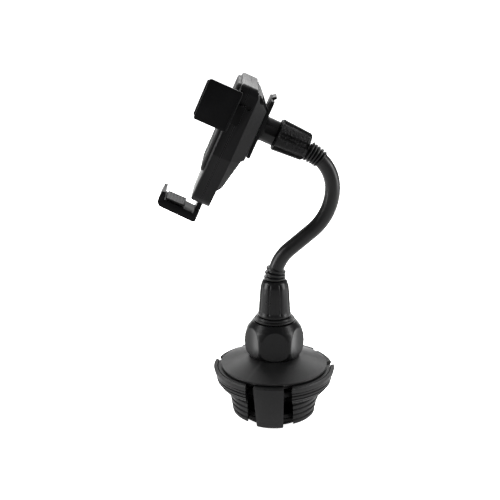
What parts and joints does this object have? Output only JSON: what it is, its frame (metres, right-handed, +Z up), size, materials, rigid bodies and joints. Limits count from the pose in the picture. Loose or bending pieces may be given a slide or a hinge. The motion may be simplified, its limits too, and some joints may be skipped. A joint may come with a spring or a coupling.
{
  "type": "car phone mount",
  "caption": "Cup-holder phone mount: expanding ridged base under a dimpled knob, gooseneck, ball joint with a locking nut, and a spring-arm cradle with a hooked foot.",
  "frame": {"origin": "middle of the foot pad's underside, on the base's axis", "axes": "+Z up along the base's axis; the phone faces -Y; +X is to the phone viewer's right"},
  "size_m": [0.0804, 0.1157, 0.2302],
  "materials": {
    "matte_black": "fine spark-eroded texture",
    "satin_black": "satin moulded plastic",
    "rubber": "matte moulded rubber",
    "steel": "zinc-plated",
    "acetal": "natural moulded"
  },
  "bodies": {
    "base": {"foot_pad": "rubber", "bottom_cover": "matte_black", "cover_screw_1": "steel", "cover_screw_2": "steel", "cover_screw_3": "steel", "base_core": "matte_black", "top_disc": "matte_black", "centre_bolt": "steel", "bolt_nut": "steel", "wave_washer": "steel"},
    "knob": {"expansion_knob": "satin_black", "drive_sleeve": "acetal", "cam_disc": "acetal"},
    "wing_1": {"wing_carrier_1": "matte_black", "wing_pad_1": "rubber"},
    "wing_2": {"wing_carrier_2": "matte_black", "wing_pad_2": "rubber"},
    "wing_3": {"wing_carrier_3": "matte_black", "wing_pad_3": "rubber"},
    "neck_1": {"foot_ring": "satin_black", "neck_ferrule": "satin_black", "neck_segment_1": "rubber"},
    "neck_2": {"neck_segment_2": "rubber"},
    "neck_3": {"neck_segment_3": "rubber"},
    "neck_4": {"neck_segment_4": "rubber"},
    "neck_5": {"neck_segment_5": "rubber"},
    "neck_6": {"neck_segment_6": "rubber"},
    "neck_7": {"neck_segment_7": "rubber", "ball_stud": "steel"},
    "ball_tilt": {"tilt_liner": "acetal"},
    "ball_pan": {"pan_liner": "acetal"},
    "head": {"ball_collet": "satin_black", "mount_plate": "matte_black", "socket_screw": "steel", "cradle_back": "satin_black", "cradle_front": "satin_black", "front_pad": "rubber", "shell_screw_1": "steel", "shell_screw_2": "steel", "shell_screw_3": "steel", "shell_screw_4": "steel", "pinion_axle": "steel", "arm_spring": "steel", "catch_pin": "steel", "catch_spring": "steel", "foot_stop_pin": "steel"},
    "nut": {"collet_nut": "satin_black"},
    "arm_right": {"right_arm": "satin_black", "right_arm_pad": "rubber"},
    "arm_left": {"left_arm": "satin_black", "left_arm_pad": "rubber"},
    "pinion": {"pinion": "acetal"},
    "catch": {"release_catch": "acetal"},
    "button": {"release_button": "matte_black"},
    "phone_foot": {"phone_foot": "satin_black", "foot_cushion": "rubber"}
  },
  "joints": [
    {"name": "knob_turn", "type": "hinge", "parent": "base", "child": "knob", "pos_m": [0, 0, 0.05], "axis": [0, 0, 1], "range_deg": [0, 100]},
    {"name": "wing_1_slide", "type": "slide", "parent": "base", "child": "wing_1", "axis": [0.3955, -0.9184, 0], "range_m": [0, 0.009]},
    {"name": "wing_2_slide", "type": "slide", "parent": "base", "child": "wing_2", "axis": [0.5976, 0.8018, 0], "range_m": [0, 0.009]},
    {"name": "wing_3_slide", "type": "slide", "parent": "base", "child": "wing_3", "axis": [-0.9932, 0.1167, 0], "range_m": [0, 0.009]},
    {"name": "neck_swivel", "type": "hinge", "parent": "base", "child": "neck_1", "pos_m": [0, 0, 0.0671], "axis": [0, 0, 1], "range_deg": [-180, 180]},
    {"name": "neck_bend_1", "type": "hinge", "parent": "neck_1", "child": "neck_2", "pos_m": [0, 0.00307, 0.1078], "axis": [1, 0, 0], "range_deg": [-15, 15]},
    {"name": "neck_lean_2", "type": "hinge", "parent": "neck_2", "child": "neck_3", "pos_m": [0, 0.01337, 0.11923], "axis": [0, 0.6561, -0.7547], "range_deg": [-15, 15]},
    {"name": "neck_bend_3", "type": "hinge", "parent": "neck_3", "child": "neck_4", "pos_m": [0, 0.02503, 0.12943], "axis": [-1, 0, 0], "range_deg": [-15, 15]},
    {"name": "neck_bend_4", "type": "hinge", "parent": "neck_4", "child": "neck_5", "pos_m": [0, 0.03365, 0.14218], "axis": [1, 0, 0], "range_deg": [-15, 15]},
    {"name": "neck_lean_5", "type": "hinge", "parent": "neck_5", "child": "neck_6", "pos_m": [0, 0.03632, 0.15733], "axis": [0, -0.9988, -0.0487], "range_deg": [-15, 15]},
    {"name": "neck_bend_6", "type": "hinge", "parent": "neck_6", "child": "neck_7", "pos_m": [0, 0.03113, 0.17169], "axis": [-1, 0, 0], "range_deg": [-15, 15]},
    {"name": "head_tilt", "type": "hinge", "parent": "neck_7", "child": "ball_tilt", "pos_m": [0, 0.01022, 0.18681], "axis": [1, 0, 0], "range_deg": [-20, 7]},
    {"name": "head_pan", "type": "hinge", "parent": "ball_tilt", "child": "ball_pan", "pos_m": [0, 0.01022, 0.18681], "axis": [0, 0.4067, 0.9135], "range_deg": [-11, 11]},
    {"name": "head_roll", "type": "hinge", "parent": "ball_pan", "child": "head", "pos_m": [0, 0.01022, 0.18681], "axis": [0, 0.9135, -0.4067], "range_deg": [-180, 180]},
    {"name": "nut_turn", "type": "hinge", "parent": "head", "child": "nut", "pos_m": [0, 0.01022, 0.18681], "axis": [0, 0.9135, -0.4067], "range_deg": [0, 180]},
    {"name": "right_arm_slide", "type": "slide", "parent": "head", "child": "arm_right", "axis": [1, 0, 0], "range_m": [0, 0.012]},
    {"name": "left_arm_slide", "type": "slide", "parent": "head", "child": "arm_left", "axis": [-1, 0, 0], "range_m": [0, 0.012]},
    {"name": "pinion_spin", "type": "hinge", "parent": "head", "child": "pinion", "pos_m": [0, -0.00762, 0.20132], "axis": [0, 0.9135, -0.4067], "range_deg": [0, 191.5]},
    {"name": "button_press", "type": "slide", "parent": "head", "child": "button", "axis": [0, -0.9135, 0.4067], "range_m": [0, 0.0014], "stiffness_N_per_m": 400},
    {"name": "catch_rock", "type": "hinge", "parent": "head", "child": "catch", "pos_m": [0, -0.02352, 0.1865], "axis": [1, 0, 0], "range_deg": [-6.5, 0]},
    {"name": "foot_slide", "type": "slide", "parent": "head", "child": "phone_foot", "axis": [0, -0.4067, -0.9135], "range_m": [-0.005, 0.015]}
  ],
  "couplings": [
    {"joint": "wing_1_slide", "follows": "knob_turn", "m_per_rad": 0.0051566},
    {"joint": "wing_2_slide", "follows": "knob_turn", "m_per_rad": 0.0051566},
    {"joint": "wing_3_slide", "follows": "knob_turn", "m_per_rad": 0.0051566},
    {"joint": "left_arm_slide", "follows": "right_arm_slide", "ratio": 1},
    {"joint": "pinion_spin", "follows": "right_arm_slide", "rad_per_m": 277.78},
    {"joint": "catch_rock", "follows": "button_press", "rad_per_m": -76.923}
  ]
}
